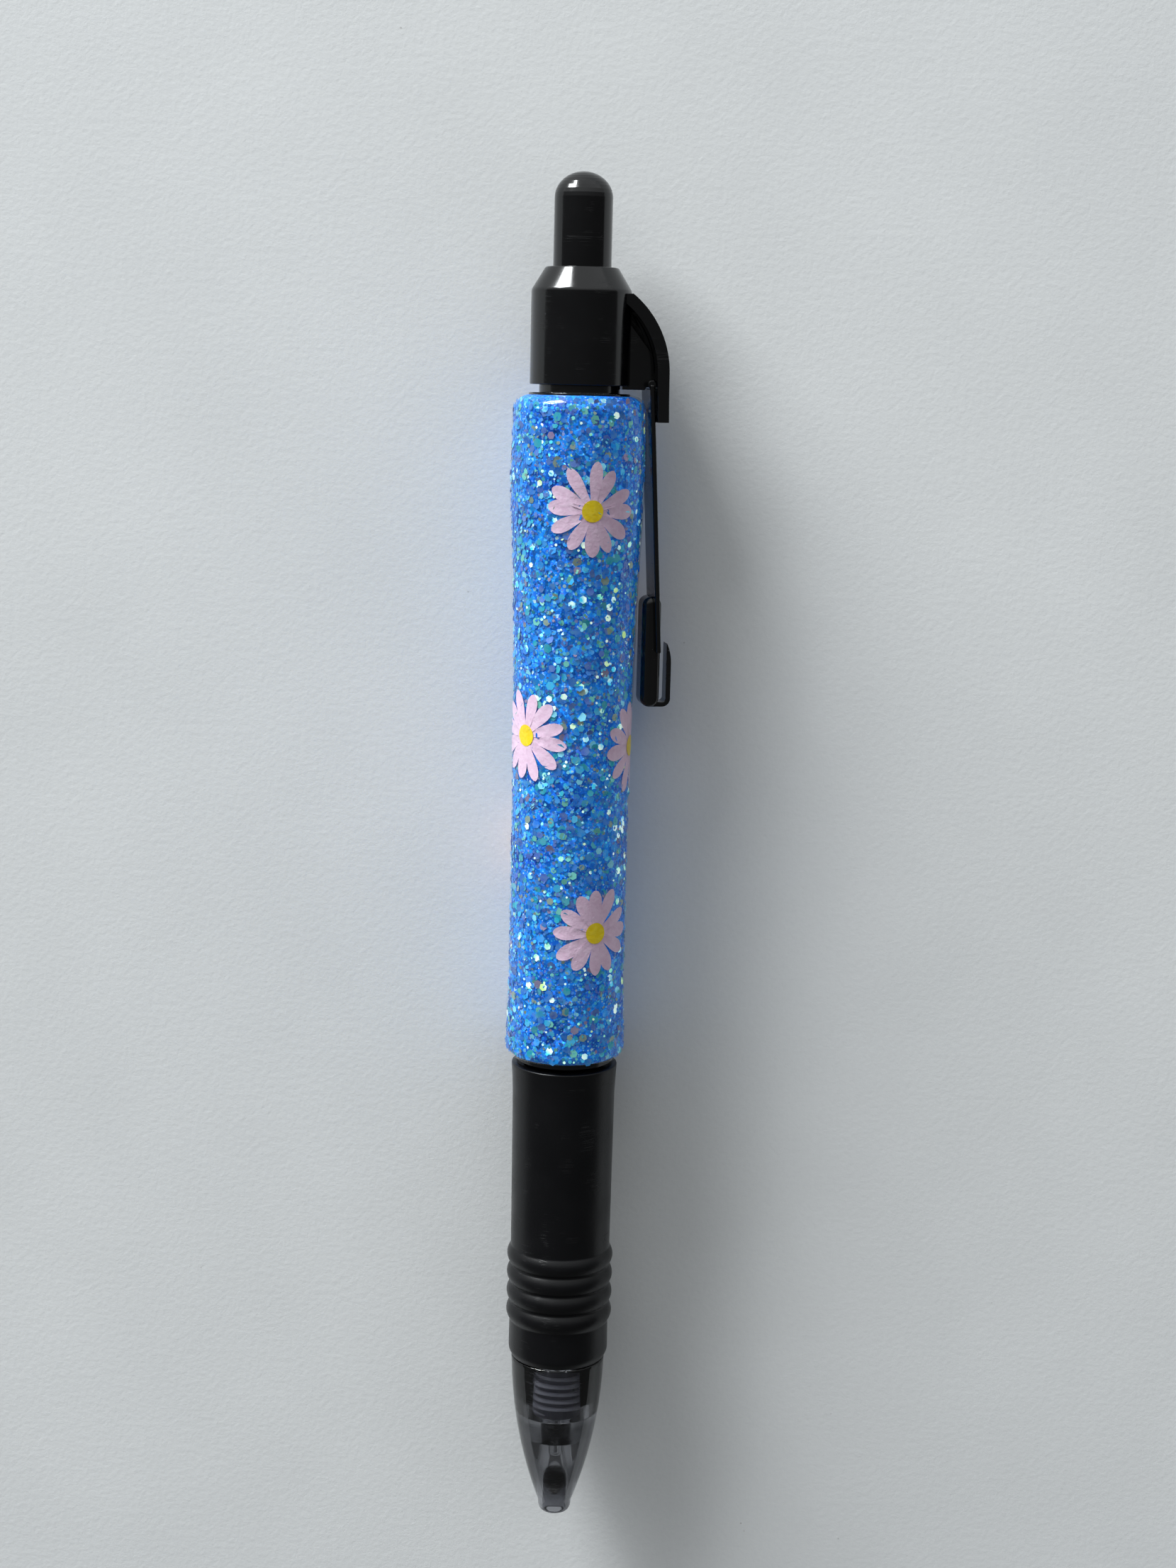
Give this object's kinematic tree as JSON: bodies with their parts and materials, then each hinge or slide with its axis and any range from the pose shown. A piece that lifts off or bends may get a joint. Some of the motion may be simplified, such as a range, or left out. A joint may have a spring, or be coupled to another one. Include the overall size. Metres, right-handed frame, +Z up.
{
  "type": "retractable gel pen",
  "caption": "Push-button gel pen lying on its side: clear nose, ribbed rubber grip, cast blue glitter sleeve with pale daisies, black collar and hooked clip.",
  "frame": {"origin": "centre of the pen's bounding box at the level of the surface it lies on", "axes": "+Y along the pen from the writing point to the push button, +Z up from the surface, clip toward +X"},
  "size_m": [0.0174, 0.1444, 0.0141],
  "materials": {
    "black_plastic": "moulded, polished",
    "grip_rubber": "satin rubber",
    "smoky_clear": "clear with a faint smoke tint",
    "blue_glitter": "blue flakes in resin",
    "clear_resin": "clear cast resin",
    "petal_pink": "pale pink film",
    "eye_yellow": "yellow film",
    "white_plastic": "natural white moulding",
    "refill_clear": "translucent",
    "black_ink": "wet gel ink",
    "grease": "clear grease",
    "point_steel": "turned",
    "ball_carbide": "polished",
    "spring_steel": "drawn wire"
  },
  "bodies": {
    "body": {"barrel": "black_plastic", "grip": "grip_rubber", "glitter_coat": "blue_glitter", "clear_coat": "clear_resin", "daisy_petals": "petal_pink", "daisy_eyes": "eye_yellow", "collar": "black_plastic", "cam_guide": "white_plastic"},
    "clip": {"clip": "black_plastic"},
    "button": {"push_button": "black_plastic"},
    "refill": {"refill_tube": "refill_clear", "refill_plug": "white_plastic", "ink": "black_ink", "ink_grease": "grease", "tip_holder": "refill_clear", "metal_point": "point_steel", "writing_ball": "ball_carbide", "cam_rotor": "white_plastic"},
    "spring": {"return_spring": "spring_steel"},
    "nose": {"nose_cone": "smoky_clear"}
  },
  "joints": [
    {"name": "button_press", "type": "slide", "parent": "body", "child": "button", "axis": [0, -1, 0], "range_m": [0, 0.005], "stiffness_N_per_m": 250, "springref_m": -0.004},
    {"name": "refill_advance", "type": "slide", "parent": "body", "child": "refill", "axis": [0, -1, 0], "range_m": [0, 0.005], "deforming": ["return_spring"]},
    {"name": "clip_flex", "type": "hinge", "parent": "body", "child": "clip", "pos_m": [0.00552, 0.0511, 0.00587], "axis": [0.1564, 0, 0.9877], "range_deg": [-0.6, 2.2], "stiffness_Nm_per_rad": 0.9},
    {"name": "nose_draw", "type": "slide", "parent": "body", "child": "spring", "axis": [0, -1, 0], "range_m": [0, 0.00425]},
    {"name": "nose_turn", "type": "hinge", "parent": "spring", "child": "nose", "pos_m": [-0.00158, -0.0628, 0.00699], "axis": [0, -1, 0], "range_deg": [0, 1815]}
  ],
  "couplings": [
    {"joint": "refill_advance", "follows": "button_press", "ratio": 1},
    {"joint": "nose_turn", "follows": "nose_draw", "rad_per_m": 7392}
  ]
}
